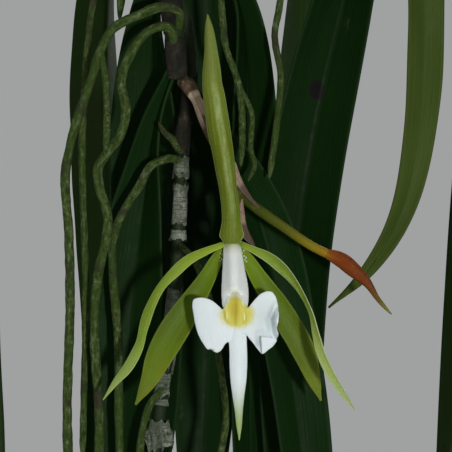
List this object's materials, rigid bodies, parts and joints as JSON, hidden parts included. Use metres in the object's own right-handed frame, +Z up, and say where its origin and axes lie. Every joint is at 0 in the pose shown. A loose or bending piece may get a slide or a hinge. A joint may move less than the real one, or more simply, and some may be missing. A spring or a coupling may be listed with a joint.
{
  "type": "hanging potted orchid",
  "caption": "Pendent orchid in a hanging clay pot: jointed stems, folded leaves and roots trail over the rim, with a white and green flower and a bud; wire hanger with a hook.",
  "frame": {"origin": "bearing point inside the crown of the hook, on the pot's axis", "axes": "+Z up, -Y towards the side that the open flower faces, +X to the right of someone who looks at the flower"},
  "size_m": [0.2228, 0.256, 0.7292],
  "materials": {
    "fired_clay": "matte",
    "potting_bark": "matte",
    "galvanised_wire": "satin",
    "stem": "satin",
    "leaf": "satin",
    "root": "matte",
    "sepal": "satin",
    "petal": "satin",
    "lip": "satin",
    "column": "satin",
    "ovary": "satin",
    "bud": "satin",
    "bract": "matte"
  },
  "bodies": {
    "root": {"pot": "fired_clay", "potting_bark": "potting_bark", "hook": "galvanised_wire", "wire_front_left": "galvanised_wire", "wire_front_right": "galvanised_wire", "wire_back": "galvanised_wire", "stem_a1": "stem", "stem_a2": "stem", "stem_a3": "stem", "stem_a4": "stem", "stem_b1": "stem", "stem_c1": "stem", "stem_d1": "stem", "stem_e1": "stem", "stem_e2": "stem", "leaf_a1": "leaf", "leaf_a2_left": "leaf", "leaf_a2_right": "leaf", "leaf_a3_left": "leaf", "leaf_a3_right": "leaf", "leaf_a4_left": "leaf", "leaf_a4_right": "leaf", "leaf_b1_front": "leaf", "leaf_b1_side": "leaf", "leaf_b1_young": "leaf", "leaf_c1_front": "leaf", "leaf_c1_back": "leaf", "leaf_d1_front": "leaf", "leaf_d1_back": "leaf", "leaf_e1_side": "leaf", "leaf_e1_middle": "leaf", "leaf_e2": "leaf", "root_loop_outer": "root", "root_loop_inner": "root", "root_joint_long": "root", "root_joint_stub": "root", "root_low_left": "root", "root_centre": "root", "root_behind_lip": "root", "root_gap_right": "root", "root_a1_long": "root", "root_a4_tip": "root", "root_left": "root", "root_right": "root", "root_back": "root", "sepal_top": "sepal", "sepal_left": "sepal", "sepal_right": "sepal", "petal_left": "petal", "petal_right": "petal", "lip": "lip", "column": "column", "ovary": "ovary", "bud_stalk": "ovary", "bud": "bud", "flower_stalk": "bract", "bract_stalk": "bract", "bract_bud": "bract", "bract_flower": "bract"}
  },
  "joints": []
}
